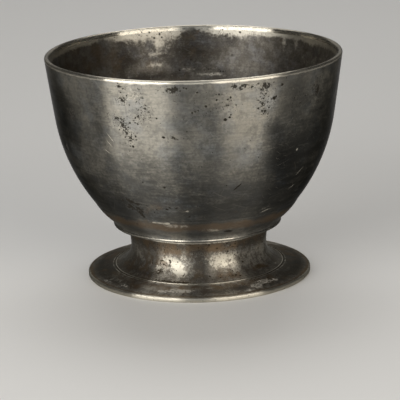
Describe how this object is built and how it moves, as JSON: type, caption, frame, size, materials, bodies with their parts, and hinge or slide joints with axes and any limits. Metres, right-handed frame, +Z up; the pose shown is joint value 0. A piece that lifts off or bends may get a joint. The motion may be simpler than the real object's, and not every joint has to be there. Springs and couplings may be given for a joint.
{
  "type": "medicine measure",
  "caption": "Small footed pewter cup that holds a measured dose to the brim: round-bottomed bowl on a hollow trumpet foot.",
  "frame": {"origin": "on the table, at the centre of the ring that the foot rests on", "axes": "+Z up along the axis that every piece was turned about; the measure is round, so +X and +Y are free"},
  "size_m": [0.0714, 0.0714, 0.0546],
  "materials": {
    "bowl_pewter": "old cast and turned pewter: dull grey oxide, pits and fine scratches, bright on the lip",
    "foot_pewter": "old cast and turned pewter, warmer grey, with brown stains and a worn bright edge",
    "solder": "dull soft solder, left as it flowed"
  },
  "bodies": {
    "root": {"bowl": "bowl_pewter", "foot": "foot_pewter", "solder_seam": "solder"}
  },
  "joints": []
}
